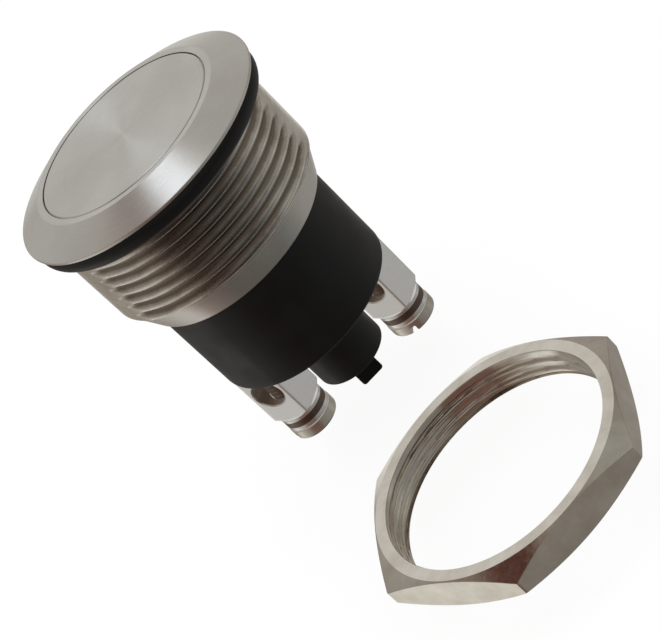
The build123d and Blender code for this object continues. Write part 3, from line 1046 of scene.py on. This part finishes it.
def studio_world():
    """Soft studio: white to the camera, plain grey to matte surfaces, and to metal soft-edged zones
    that are mostly pale behind and beside the object and dark in front of it."""
    world = bpy.data.worlds.new("soft studio")
    world.use_nodes = True
    tree = world.node_tree
    tree.nodes.clear()
    direction = add_node(tree, "ShaderNodeTexCoord").outputs["Generated"]
    shade = rgba(linear(STUDIO_BASE))
    for azimuth, elevation, inner, outer, code in STUDIO_ZONES:
        a, e = radians(azimuth), radians(elevation)
        middle = (cos(a) * cos(e), sin(a) * cos(e), sin(e))
        near = add_node(tree, "ShaderNodeVectorMath", {"operation": "DOT_PRODUCT"},
                        {0: direction, 1: middle})
        share = add_node(tree, "ShaderNodeMapRange", {"interpolation_type": "SMOOTHSTEP"},
                         {"Value": near.outputs["Value"], "From Min": cos(radians(outer)),
                          "From Max": cos(radians(inner))})
        shade = blend(tree, share.outputs[0], shade, rgba(linear(code)))
    rays = add_node(tree, "ShaderNodeLightPath")
    glossy = blend(tree, rays.outputs["Is Glossy Ray"], rgba(linear(STUDIO_FILL)), shade)
    seen = blend(tree, rays.outputs["Is Camera Ray"], glossy, (1, 1, 1, 1))
    back = add_node(tree, "ShaderNodeBackground", inputs={"Color": seen, "Strength": 1})
    add_node(tree, "ShaderNodeOutputWorld", inputs={"Surface": back.outputs[0]})
    bpy.context.scene.world = world


def stage_floor():
    """A large pale disc under the object. The camera sees it lifted to white, with a soft shadow."""
    radii = [0, 0.02, 0.1, 0.6]
    disc = turned(radii, [FLOOR_Z] * len(radii), round_angles(96))
    floor = new_object("studio_floor", mesh_from_grid("studio_floor", disc))
    if floor.data.polygons[0].normal.z < 0:
        floor.data.flip_normals()
    material = bpy.data.materials.new("Matte white studio paper")
    material.use_nodes = True
    tree = material.node_tree
    tree.nodes.clear()
    # The camera sees this share of the paper as white light, a little stronger than white
    lift = 0.72
    glow = 1.2
    paper = add_node(tree, "ShaderNodeBsdfDiffuse", inputs={"Color": (0.8, 0.8, 0.8, 1)})
    white = add_node(tree, "ShaderNodeEmission", inputs={"Color": (1, 1, 1, 1), "Strength": glow})
    rays = add_node(tree, "ShaderNodeLightPath")
    lifted = add_node(tree, "ShaderNodeMath", {"operation": "MULTIPLY"},
                      {0: rays.outputs["Is Camera Ray"], 1: lift})
    mix = add_node(tree, "ShaderNodeMixShader",
                   inputs={0: lifted.outputs[0], 1: paper.outputs[0], 2: white.outputs[0]})
    add_node(tree, "ShaderNodeOutputMaterial", inputs={"Surface": mix.outputs[0]})
    floor.data.materials.append(material)
    floor.visible_glossy = False
    floor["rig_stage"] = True


def softbox(name, place, target, width, watts, code):
    """Round area light that faces its target."""
    data = bpy.data.lights.new(name, "AREA")
    data.color = linear(code)
    data.shape = "DISK"
    data.size = width
    data.energy = watts
    lamp = new_object(name, data)
    lamp.location = place
    lamp.rotation_euler = (Vector(target) - Vector(place)).to_track_quat("-Z", "Y").to_euler()


def photo_camera():
    """Camera at the photograph's place: looks level along +Y, turned by pan, tipped by pitch and
    rolled about its own axis."""
    data = bpy.data.cameras.new("photo_camera")
    data.sensor_width = SENSOR_WIDTH
    data.lens = FOCAL_PIXELS * SENSOR_WIDTH / IMAGE_WIDTH
    data.clip_start = mm(10)
    data.clip_end = 10
    camera = new_object("photo_camera", data)
    forward = Vector((sin(CAMERA_PAN) * cos(CAMERA_PITCH), cos(CAMERA_PAN) * cos(CAMERA_PITCH),
                      -sin(CAMERA_PITCH)))
    level = Vector((cos(CAMERA_PAN), -sin(CAMERA_PAN), 0))
    down = forward.cross(level)
    right = cos(CAMERA_ROLL) * level + sin(CAMERA_ROLL) * down
    low = -sin(CAMERA_ROLL) * level + cos(CAMERA_ROLL) * down
    turn = Matrix((right, -low, -forward)).transposed()
    camera.matrix_world = Matrix.Translation(CAMERA_PLACE) @ turn.to_4x4()
    bpy.context.scene.camera = camera


class PUSHBUTTON_OT_stage(bpy.types.Operator):
    """Set up the floor, the soft studio light and the camera"""

    bl_idname = "push_button.stage"
    bl_label = "Stage"

    def execute(self, context):
        context.scene.view_settings.view_transform = "Standard"
        studio_world()
        stage_floor()
        softbox("overhead softbox", place=(0, 0.1, 0.45), target=(0, 0, 0), width=0.12, watts=0.075,
                code="#DEEFFF")
        photo_camera()
        return {"FINISHED"}


STEPS = (
    PUSHBUTTON_OT_bezel,
    PUSHBUTTON_OT_button,
    PUSHBUTTON_OT_seals,
    PUSHBUTTON_OT_housing,
    PUSHBUTTON_OT_pillars,
    PUSHBUTTON_OT_screws,
    PUSHBUTTON_OT_nut,
    PUSHBUTTON_OT_springs,
    PUSHBUTTON_OT_mechanism,
    PUSHBUTTON_OT_stage,
)


class PUSHBUTTON_PT_panel(bpy.types.Panel):
    """Sidebar panel with a button for each piece, and the sizes and colours"""

    bl_idname = "PUSHBUTTON_PT_panel"
    bl_label = "Push Button"
    bl_space_type = "VIEW_3D"
    bl_region_type = "UI"
    bl_category = "Push Button"

    def draw(self, context):
        for step in STEPS:
            self.layout.operator(step.bl_idname)
        for group in (context.scene.switch_sizes, context.scene.switch_colours):
            for name in group.__annotations__:
                self.layout.prop(group, name)


CLASSES = (SwitchSizes, SwitchColours, *STEPS, PUSHBUTTON_PT_panel)


def register():
    """Registers the classes and the scene's properties."""
    for item in CLASSES:
        bpy.utils.register_class(item)
    bpy.types.Scene.switch_sizes = bpy.props.PointerProperty(type=SwitchSizes)
    bpy.types.Scene.switch_colours = bpy.props.PointerProperty(type=SwitchColours)


def unregister():
    """Takes them off again."""
    del bpy.types.Scene.switch_colours
    del bpy.types.Scene.switch_sizes
    for item in reversed(CLASSES):
        bpy.utils.unregister_class(item)


def corners():
    """The shown object's lowest and highest corners, as plain lists."""
    return [list(corner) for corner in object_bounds()]


def main():
    """Builds everything in order."""
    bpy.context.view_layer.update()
    register()
    for step in STEPS:
        group, name = step.bl_idname.split(".")
        getattr(getattr(bpy.ops, group), name)()


if __name__ == "__main__":
    main()
